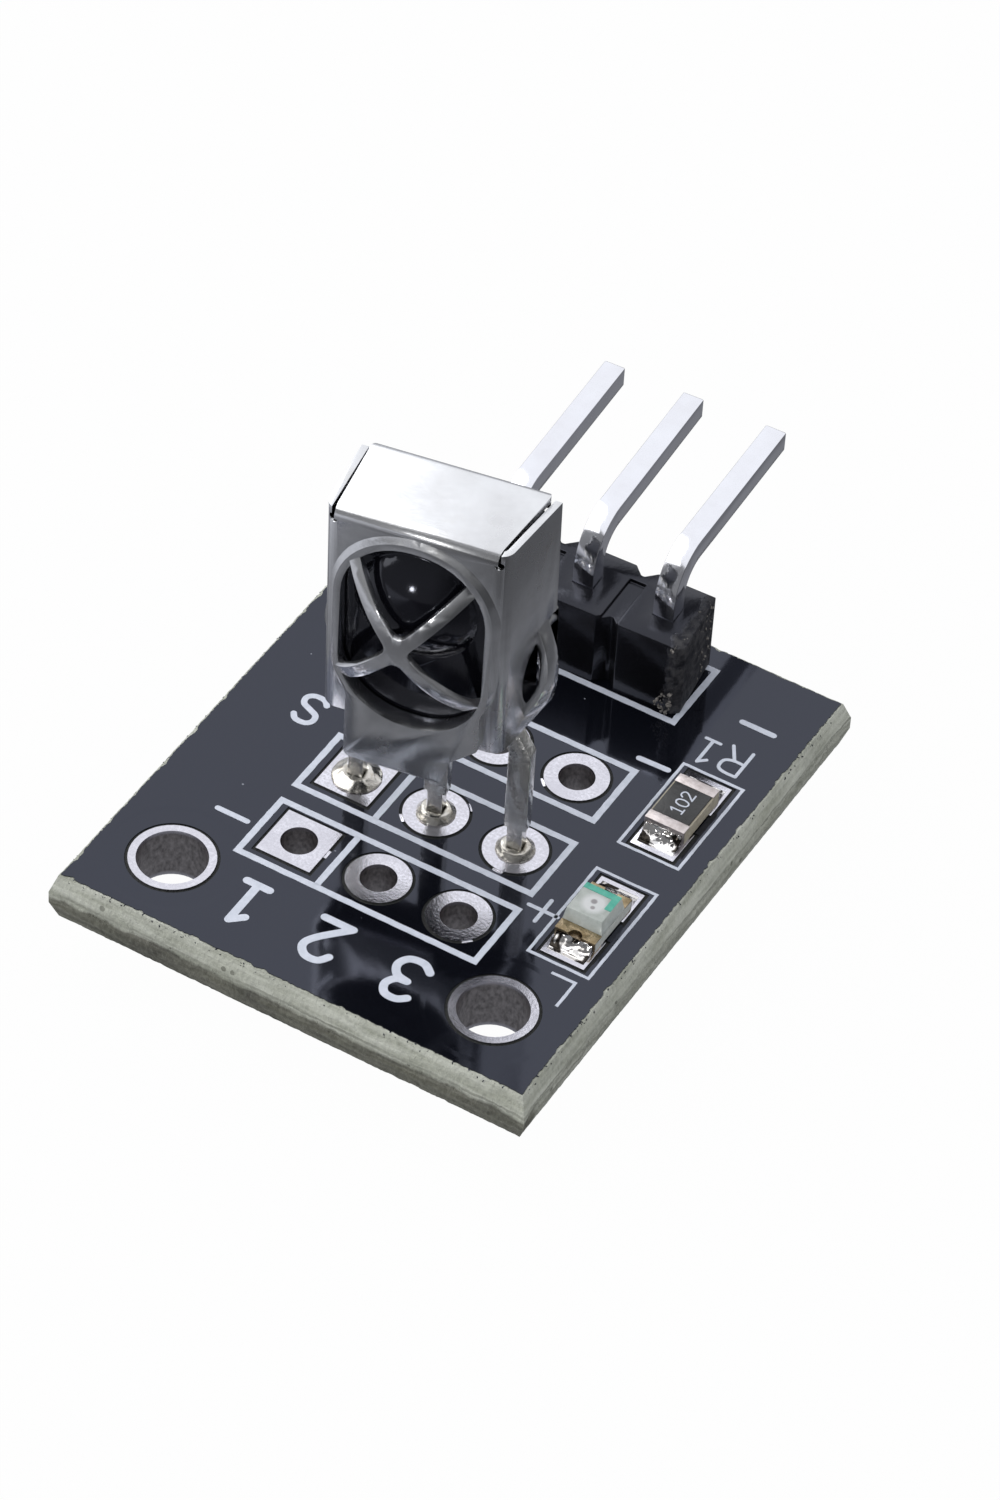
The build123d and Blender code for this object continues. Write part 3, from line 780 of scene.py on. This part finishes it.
def plate(name, solids, holes, bottom, top):
    """A flat closed piece of the outlines between two heights."""
    found, faces = triangulated(solids, holes)
    shape = bmesh.new()
    verts = [shape.verts.new((x, y, bottom)) for x, y in found]
    base = [shape.faces.new([verts[i] for i in face]) for face in faces]
    drop_loose(shape)
    raised = bmesh.ops.extrude_face_region(shape, geom=base, use_keep_orig=True)
    for item in raised["geom"]:
        if isinstance(item, bmesh.types.BMVert):
            item.co.z = top
    return closed(shape, name)


# Board
def rim(inset, step=wall_step):
    """Points round the board's outline with their outward direction, at an even spacing."""
    x0, x1 = board_low.x + inset, board_high.x - inset
    y0, y1 = board_low.y + inset, board_high.y - inset
    corners = [Vector(p) for p in ((x0, y0), (x1, y0), (x1, y1), (x0, y1))]
    points = []
    for i, start in enumerate(corners):
        end = corners[(i + 1) % 4]
        along = (end - start).normalized()
        out = Vector((along.y, -along.x))
        count = round((board_high.x - board_low.x if i % 2 == 0 else board_high.y - board_low.y) / step)
        points += [(start.lerp(end, j / count), out) for j in range(count)]
    return points


def corner_distance(point):
    """How far a point of the rim is from the nearest corner, along its own side."""
    across = min(point.x - board_low.x, board_high.x - point.x)
    along = min(point.y - board_low.y, board_high.y - point.y)
    return max(across, along)


def rim_loss(point, seed):
    """How far the lacquered edge has crumbled at a point: a fine ripple and a few deeper chips."""
    ripple = abs(grain((*point, 0), 4.0, seed)) + 0.8 * abs(grain((*point, 0), 12.0, seed))
    chip = ease(grain((*point, 0), 2.6, seed + 4), 0.28, 0.5)
    return (rim_wear * ripple + 0.05 * chip) * ease(corner_distance(point), 0.3, 0.6)


def wall_inset(height):
    """The scored faces lean in from the web that was snapped."""
    from_face = min(height, board_top - height)
    return score_inset * max(0.0, 1 - from_face / score_depth)


def wall_loss(point, height):
    """Torn glass and resin on the web, and shallow saw lines on the scored faces."""
    middle = 1 - ease(abs(height - board_top / 2), *web_half)
    tear = 0.5 + 0.5 * grain((*point, height * 2.2), 1.7, 5) + 0.35 * grain((*point, height), 7, 2)
    saw = abs(grain((point.x, point.y, height * 0.4), 6, 8))
    return web_wear * middle * min(1.0, max(0.05, tear)) + 0.02 * saw


def board_laminate():
    """The laminate with its scored and snapped edges; the plated holes pass through it."""
    holes = [round_outline(*hole) for hole in bores()]
    levels = [board_top * i / wall_rows for i in range(wall_rows + 1)]
    shape = bmesh.new()
    rows = []
    for height in levels:
        inset = wall_inset(height)
        row = []
        for point, out in rim(inset):
            loss = wall_loss(point, height) * ease(corner_distance(point), 0.0, 0.4)
            if height in (levels[0], levels[-1]):
                loss += 0.4 * rim_loss(point, 1.0 if height else 6.0)
            row.append(point - out * loss)
        rows.append(row)
    grid = [[shape.verts.new((*point, height)) for point in row] for row, height in zip(rows, levels)]
    for low, high in zip(grid, grid[1:]):
        wall(shape, low, high)
    for row, height in ((rows[0], 0.0), (rows[-1], board_top)):
        found, faces = triangulated([row], holes)
        verts = [shape.verts.new((*point, height)) for point in found]
        for face in faces:
            shape.faces.new([verts[i] for i in face])
    for hole in holes:
        low = [shape.verts.new((*point, 0.0)) for point in hole]
        high = [shape.verts.new((*point, board_top)) for point in hole]
        wall(shape, low, high)
    drop_loose(shape)
    mesh = closed(shape, "board_laminate")
    mesh.shade_smooth()
    mesh.set_sharp_from_angle(angle=math.radians(40))
    piece("board_laminate", mesh, "glass_epoxy", "board_core")


def hole_centre(hole):
    """Where a small hole stands, from its row's letter and its way's number."""
    return Vector((way_x[hole[1]], row_y[hole[0]]))


def bores():
    """Centre and radius of the hole that each piece of plating fills."""
    found = [(hole_centre(hole), small_bore) for hole in small_holes]
    return found + [(node_centre(ring), mounting_bore) for ring in mounting_rings]


def openings(on_top):
    """Outlines of the lacquer's openings over rings, pads and lands."""
    found = []
    for ring in mounting_rings:
        low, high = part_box(ring)
        radius = (high.x - low.x) / MM / 2
        found.append(round_outline(node_centre(ring), radius + mask_gap))
    for hole in small_holes:
        centre = hole_centre(hole)
        if hole[1] == "1":
            side = square_pad + 2 * mask_gap
            found.append(wavy(box_outline(centre, side, side), 0.006))
        else:
            found.append(round_outline(centre, small_pad + mask_gap))
    if on_top:
        for land in ("resistor_land_near", "resistor_land_far", "led_land_near", "led_land_far"):
            low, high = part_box(land)
            size = (high - low) / MM
            found.append(box_outline(node_centre(land), size.x + 2 * mask_gap, size.y + 2 * mask_gap))
    return found


def lacquer(name, replaced, on_top):
    """One coat of solder mask with a crumbled outline."""
    seed = 1.0 if on_top else 6.0
    outline = [point - out * rim_loss(point, seed) for point, out in rim(score_inset + mask_pullback)]
    low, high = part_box(replaced)
    mesh = plate(name, [outline], openings(on_top), low.z / MM, high.z / MM)
    piece(name, mesh, "solder_mask", replaced)


# White print
def stroke(points, width, steps=6):
    """A pen line of even width with round ends, as one closed outline."""
    half = width / 2
    left, right = [], []
    last = len(points) - 1
    for i, point in enumerate(points):
        before, after = points[max(i - 1, 0)], points[min(i + 1, last)]
        along = (after - before).normalized()
        side = Vector((-along.y, along.x)) * half
        left.append(point + side)
        right.append(point - side)
    return left + round_end(points[-1], left[-1], steps) + right[::-1] + round_end(points[0], right[0], steps)


def round_end(centre, start, steps):
    """The points of a half circle that turns clockwise from a start."""
    arm = start - centre
    turns = [-math.pi * i / steps for i in range(1, steps)]
    return [centre + Matrix.Rotation(turn, 2) @ arm for turn in turns]


def curved(points, parts=6):
    """A smooth line through the points."""
    found = []
    last = len(points) - 1
    for i in range(last):
        a, b, c, d = (Vector(points[min(max(i + k, 0), last)]) for k in (-1, 0, 1, 2))
        for j in range(parts):
            t = j / parts
            squared = (2 * a - 5 * b + 4 * c - d) * t**2
            cubed = (3 * b - a - 3 * c + d) * t**3
            found.append(0.5 * (2 * b + (c - a) * t + squared + cubed))
    return found + [Vector(points[-1])]


# Pen lines of each sign in a box 0.6 wide and 1 high
signs = {
    "0": [
        [(0.3, 1.0), (0.1, 0.9), (0.0, 0.6), (0.0, 0.4), (0.1, 0.1), (0.3, 0.0)],
        [(0.3, 1.0), (0.5, 0.9), (0.6, 0.6), (0.6, 0.4), (0.5, 0.1), (0.3, 0.0)],
    ],
    "1": [[(0.1, 0.8), (0.32, 1.0)], [(0.32, 1.0), (0.32, 0.0)], [(0.08, 0.0), (0.56, 0.0)]],
    "2": [
        [(0.02, 0.8), (0.16, 0.98), (0.42, 0.98), (0.58, 0.78), (0.46, 0.5), (0.0, 0.0)],
        [(0.0, 0.0), (0.6, 0.0)],
    ],
    "3": [
        [(0.03, 0.88), (0.2, 1.0), (0.44, 0.98), (0.55, 0.78), (0.44, 0.58), (0.24, 0.54)],
        [(0.24, 0.54), (0.48, 0.48), (0.6, 0.26), (0.48, 0.04), (0.2, 0.0), (0.0, 0.14)],
    ],
    "R": [
        [(0.0, 0.0), (0.0, 1.0)],
        [(0.0, 1.0), (0.34, 1.0), (0.56, 0.9), (0.56, 0.62), (0.34, 0.5), (0.0, 0.5)],
        [(0.3, 0.5), (0.6, 0.0)],
    ],
    "S": [
        [
            (0.58, 0.84), (0.44, 0.99), (0.16, 0.99), (0.02, 0.84), (0.06, 0.62), (0.3, 0.5),
            (0.55, 0.38), (0.6, 0.16), (0.44, 0.01), (0.16, 0.01), (0.0, 0.16),
        ]
    ],
    "+": [[(0.0, 0.5), (0.9, 0.5)], [(0.45, 0.05), (0.45, 0.95)]],
    "-": [[(0.0, 0.5), (0.95, 0.5)]],
}
sign_width = 0.6

# Sign, middle, height, pen width and turn
board_signs = [
    ("-", (-4.77, 2.27), 1.0, 0.17, 0),
    ("-", (3.89, 10.34), 0.95, 0.18, 2),
    ("-", (5.62, 13.16), 1.05, 0.18, 0),
    ("+", (4.2, 3.84), 1.0, 0.12, 0),
    ("S", (-5.0, 6.9), 1.08, 0.18, 180),
    ("R", (5.88, 11.68), 1.05, 0.1, 180),
    ("1", (5.02, 11.58), 0.95, 0.1, 180),
    ("1", (-2.54, -0.35), 1.5, 0.24, 180),
    ("2", (0.0, -0.35), 1.5, 0.24, 180),
    ("3", (2.54, -0.35), 1.5, 0.24, 180),
]

value_pitch = 0.31
value_height = 0.38
value_pen = 0.045


def sign(label, centre, height, line, turn):
    """The outlines of one sign about its centre, turned in degrees."""
    spin = Matrix.Rotation(math.radians(turn), 2)
    found = []
    for points in signs[label]:
        placed = [
            Vector(centre) + spin @ (height * Vector((x - sign_width / 2, y - 0.5)))
            for x, y in points
        ]
        found.append(stroke(curved(placed) if len(placed) > 3 else placed, line))
    return found


def printed_frame(centre, size, line):
    """A frame's outer and inner outlines."""
    inner = (size[0] - 2 * line, size[1] - 2 * line)
    return wavy(box_outline(centre, *size)), wavy(box_outline(centre, *inner))


def board_legend():
    """Frames round the rows and chips, polarity signs and plain numbers."""
    frames = [((0.0, row_y[row] + row_frame_shift), row_frame, frame_line) for row in "abc"]
    frames.append(((0.0, row_y["h"] + header_frame_shift), header_frame, frame_line))
    frames.append((resistor_centre, resistor_frame, thin_line))
    frames.append((led_centre, led_frame, thin_line))
    solids, lined = [], []
    for centre, size, line in frames:
        outer, inner = printed_frame(centre, size, line)
        lined.append(([outer], [inner]))
    for row in "abc":
        centre = (divider_x, row_y[row] + row_frame_shift)
        solids.append(wavy(box_outline(centre, frame_line, row_frame[1] - 1.9 * frame_line)))
    reach, drop, gap = corner_mark
    x = led_centre.x + reach
    y = led_centre.y - led_frame[1] / 2 - gap
    solids.append(wavy(box_outline((x - reach / 2, y), reach, thin_line)))
    solids.append(wavy(box_outline((x - thin_line / 2, y - drop / 2), thin_line, drop)))
    for label, centre, height, line, turn in board_signs:
        solids += sign(label, centre, height, line, turn)
    top = mask_top + print_thickness
    shape = bmesh.new()
    for some, cut in lined + [(solids, [])]:
        part = plate("part", some, cut, mask_top, top)
        shape.from_mesh(part)
        bpy.data.meshes.remove(part)
    shape.transform(Matrix.Scale(1 / MM, 4))
    piece("board_legend", closed(shape, "board_legend"), "white_print", "legend_print")


def resistor_value():
    """Three thin figures on the resistor that read towards the header."""
    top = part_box("resistor_film")[1].z / MM
    solids = []
    for place_in_row, label in enumerate("102"):
        centre = (resistor_centre.x, resistor_centre.y + (place_in_row - 1) * value_pitch)
        solids += sign(label, centre, value_height, value_pen, 90)
    mesh = plate("resistor_value", solids, [], top, top + print_thickness / 2)
    piece("resistor_value", mesh, "white_print")


# Strewn grains: the smallest and largest, as shares of the size asked for
grain_sizes = (0.35, 1.3)


def strewn_group():
    """Grains of uneven size set on a patch's faces along their normals, with some random turn."""
    group = bpy.data.node_groups.new("strewn", "GeometryNodeTree")
    kinds = {
        "Patch": "Geometry", "Density": "Float", "Size": "Vector",
        "Turn": "Float", "Seed": "Int", "Material": "Material",
    }
    for label, kind in kinds.items():
        group.interface.new_socket(label, in_out="INPUT", socket_type=f"NodeSocket{kind}")
    group.interface.new_socket("Grains", in_out="OUTPUT", socket_type="NodeSocketGeometry")
    given = group.nodes.new("NodeGroupInput").outputs
    inputs = {"Mesh": given["Patch"], "Density": given["Density"], "Seed": given["Seed"]}
    points = node(group, "GeometryNodeDistributePointsOnFaces", inputs).outputs
    form = node(group, "GeometryNodeMeshIcoSphere", {"Radius": 0.5, "Subdivisions": 1})
    inputs = {2: grain_sizes[0], 3: grain_sizes[1], "Seed": given["Seed"]}
    uneven = node(group, "FunctionNodeRandomValue", inputs, data_type="FLOAT")
    inputs = {0: given["Size"], "Scale": uneven.outputs[1]}
    scale = add(group, "VectorMath", inputs, operation="SCALE")
    inputs = {
        "Points": points["Points"], "Instance": form.outputs["Mesh"],
        "Rotation": points["Rotation"], "Scale": scale.outputs[0],
    }
    grains = node(group, "GeometryNodeInstanceOnPoints", inputs)
    inputs = {0: (-1.0, -1.0, -1.0), 1: (1.0, 1.0, 1.0)}
    twist = node(group, "FunctionNodeRandomValue", inputs, data_type="FLOAT_VECTOR")
    turn = add(group, "VectorMath", {0: twist.outputs[0], "Scale": given["Turn"]}, operation="SCALE")
    inputs = {"Instances": grains.outputs[0], "Rotation": turn.outputs[0]}
    turned = node(group, "GeometryNodeRotateInstances", inputs)
    real = node(group, "GeometryNodeRealizeInstances", {"Geometry": turned.outputs[0]})
    inputs = {"Geometry": real.outputs[0], "Material": given["Material"]}
    painted = node(group, "GeometryNodeSetMaterial", inputs)
    leave = group.nodes.new("NodeGroupOutput")
    group.links.new(painted.outputs[0], leave.inputs[0])
    return group


def strewn(group, name, slot, quads, density, size, turn, seed):
    """A piece of grains on a patch of four-cornered faces in millimetres; density is per square mm."""
    shape = bmesh.new()
    for corners in quads:
        shape.faces.new([shape.verts.new(Vector(corner) * MM) for corner in corners])
    patch = bpy.data.meshes.new("patch")
    shape.to_mesh(patch)
    shape.free()
    carrier = linked("carrier", patch)
    modifier = carrier.modifiers.new("strewn", "NODES")
    modifier.node_group = group
    values = {
        "Density": density / MM**2, "Size": [part * MM for part in size], "Turn": turn, "Seed": seed,
        "Material": finishes[slot],
    }
    for item in group.interface.items_tree:
        if item.name in values:
            modifier[item.identifier] = values[item.name]
    mesh = baked(carrier)
    mesh.name = name
    mesh.shade_smooth()
    piece(name, mesh, slot)


def rim_strip(low, high, inset_low, inset_high):
    """Four-cornered faces round the board between two heights, each at its own inset."""
    below, above = rim(inset_low, 0.5), rim(inset_high, 0.5)
    quads = []
    for i in range(len(below)):
        j = (i + 1) % len(below)
        foot = [(*below[k][0], low) for k in (i, j)]
        quads.append(foot + [(*above[k][0], high) for k in (j, i)])
    return quads


def grains():
    """Crumbs of lacquer on the rim, glass ends on the web, and crumbs on the header's torn end."""
    group = strewn_group()
    edge = rim_strip(board_top - 0.12, board_top - 0.01, score_inset * 0.8 + 0.03, score_inset + 0.05)
    strewn(group, "lacquer_crumbs", "solder_mask", edge, 75.0, (0.1, 0.08, 0.04), 3.0, 4)
    web = rim_strip(score_depth + 0.03, board_top - score_depth - 0.03, 0.1, 0.1)
    strewn(group, "glass_ends", "glass_epoxy", web, 90.0, (0.025, 0.025, 0.12), 0.5, 7)
    low, high = (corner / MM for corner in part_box("header_housing"))
    right, front, rear, foot, top = high.x, low.y, high.y - 0.2, low.z, high.z
    end = [
        (right - 0.1, front + 0.4, foot + 0.2), (right - 0.24, rear, foot + 0.2),
        (right - 0.24, rear, top - 0.04), (right - 0.1, front + 0.4, top - 0.04),
    ]
    strewn(group, "snapped_crumbs", "snapped_plastic", [end], 14.0, (0.12, 0.09, 0.06), 3.0, 11)
    corner = [
        (right - 0.75, front + 0.02, foot + 0.25), (right - 0.16, front + 0.02, foot + 0.05),
        (right - 0.12, front + 0.02, foot + 1.0), (right - 0.5, front + 0.02, foot + 0.85),
    ]
    strewn(group, "corner_crumbs", "snapped_plastic", [corner], 110.0, (0.16, 0.1, 0.05), 3.0, 5)
    edge = [
        (right - 0.34, front + 0.1, top - 0.03), (right - 0.12, front + 0.1, top - 0.06),
        (right - 0.24, rear, top - 0.06), (right - 0.44, rear, top - 0.03),
    ]
    strewn(group, "edge_crumbs", "snapped_plastic", [edge], 70.0, (0.15, 0.09, 0.05), 3.0, 9)


# Stage, camera and lamps
def floor():
    lowest = min(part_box(f"header_pin_{i}")[0].z for i in (1, 2, 3))
    mesh = bpy.data.meshes.new("floor")
    corners = [(-1, -1), (1, -1), (1, 1), (-1, 1)]
    mesh.from_pydata([(x * floor_half, y * floor_half, lowest) for x, y in corners], [], [(0, 1, 2, 3)])
    made = linked("floor", mesh)
    mesh.materials.append(floor_paint())


def floor_paint():
    """White to the camera and pale grey paper to soft light; gloss sees a painted glow on it, with painted
    shade making it darker behind the board.
    """
    made = bpy.data.materials.new("floor_paint")
    made.use_nodes = True
    tree = made.node_tree
    tree.nodes.clear()
    spot = parts_of(tree, place(tree))
    # Painted light and shade seen by gloss: the glow's level changes across the floor, lower to the right and
    # higher to the left.
    near = span(tree, spot["Y"], -0.02, -0.007, 0.11, 0.2)
    near = times(tree, near, span(tree, spot["X"], 0.006, 0.02, 1.0, 0.45))
    left = span(tree, spot["X"], -0.01, -0.04, 0.0, 0.4)
    ray = add(tree, "LightPath").outputs
    gloss = times(tree, ray["Is Glossy Ray"], plus(tree, near, left))
    level = plus(tree, ray["Is Camera Ray"], gloss)
    share = plus(tree, times(tree, ray["Is Camera Ray"], 0.98), ray["Is Glossy Ray"])
    paper = add(tree, "BsdfDiffuse", {"Color": (0.5, 0.5, 0.51, 1)})
    cool = tint(tree, ray["Is Glossy Ray"], (1, 1, 1, 1), (0.95, 0.97, 1.05, 1))
    white = add(tree, "Emission", {"Color": cool, "Strength": level})
    both = add(tree, "MixShader", {0: share, 1: paper.outputs[0], 2: white.outputs[0]})
    out = add(tree, "OutputMaterial")
    tree.links.new(both.outputs[0], out.inputs[0])
    return made


def sky():
    """Soft light from all round; metal and gloss see a bright tent above and behind, open to the front."""
    world = bpy.data.worlds.new("studio")
    bpy.context.scene.world = world
    world.use_nodes = True
    tree = world.node_tree
    tree.nodes.clear()
    way = parts_of(tree, add(tree, "TexCoord").outputs["Generated"])
    ahead = span(tree, way["Y"], 0.0, -0.45)
    above = span(tree, calc(tree, "SUBTRACT", way["Z"], times(tree, ahead, 0.6)), 0.33, 0.45)
    behind = times(tree, span(tree, way["Y"], 0.1, 0.4), span(tree, way["Z"], 0.0, 0.3))
    tent = calc(tree, "MAXIMUM", above, behind)
    right = span(tree, way["X"], 0.35, 0.75, 1.0, 0.3)
    gloss = times(tree, span(tree, tent, 0, 1, 0.2, 1.0), right)
    ray = add(tree, "LightPath").outputs
    level = span(tree, ray["Is Camera Ray"], 0, 1, 0.75, 1.0)
    level = add(tree, "Mix", {0: ray["Is Glossy Ray"], 2: level, 3: gloss}).outputs[0]
    shade = add(tree, "Background", {"Color": (0.95, 0.965, 1.0, 1), "Strength": level})
    out = add(tree, "OutputWorld")
    tree.links.new(shade.outputs[0], out.inputs[0])


def lamp(name, spot, target, size, power):
    data = bpy.data.lights.new(name, "AREA")
    data.shape = "SQUARE"
    data.size = size
    data.energy = power
    made = linked(name, data)
    made.location = spot
    made.rotation_mode = "QUATERNION"
    made.rotation_quaternion = (Vector(target) - Vector(spot)).to_track_quat("-Z", "Y")


def camera():
    data = bpy.data.cameras.new("camera")
    data.lens = camera_lens
    data.sensor_width = 36.0
    data.clip_start = 0.01
    data.clip_end = 20.0
    made = linked("camera", data)
    made.location = Vector(camera_place) * MM
    made.rotation_euler = [math.radians(turn) for turn in camera_turn]
    bpy.context.scene.camera = made


board_laminate()
lacquer("top_lacquer", "solder_mask_top", True)
lacquer("bottom_lacquer", "solder_mask_bottom", False)
board_legend()

# Nodes that keep their form: material and softened edge
plain_slots = {
    "pad": ("tinned_copper", 0), "mounting": ("tinned_copper", 0), "receiver_lead": ("lead_tin", 0.03),
    "header_pin": ("pin_tin", 0.02), "header_housing": ("header_plastic", 0.03),
    "resistor_cap": ("cap_tin", 0.02), "resistor_land": ("tinned_copper", 0.01),
    "resistor_ceramic": ("alumina", 0), "resistor_film": ("resistor_coat", 0.01),
    "led_land": ("tinned_copper", 0.01), "led_base": ("led_substrate", 0), "led_resin": ("led_resin", 0.02),
    "led_chip": ("led_chip", 0), "led_mark": ("green_paint", 0), "led_terminal": ("gilt", 0.01),
}
# Solder of each kind: material, voxel and how far it heaves
solders = {
    "header_solder": ("solder", 0.05, 0.03), "receiver_solder": ("solder", 0.04, 0.03),
    "resistor_solder": ("chip_solder", 0.03, 0.07), "led_solder": ("chip_solder", 0.03, 0.06),
}
for name in sorted(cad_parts):
    for start, (slot, edge) in plain_slots.items():
        if name.startswith(start):
            dressed(name, slot, edge)
    for start, (slot, voxel, heave) in solders.items():
        if name.startswith(start):
            lumpy(name, slot, voxel, heave)
shield()
body()
resistor_value()
grains()

floor()
sky()
camera()
lamp("key", (-0.34, -0.05, 0.36), (0, 0.006, 0), 0.6, 1.7)
lamp("glint", (-0.02, -0.39, 0.11), (0, 0.006, 0.01), 0.03, 0.1)

bpy.context.scene.view_settings.view_transform = "Standard"
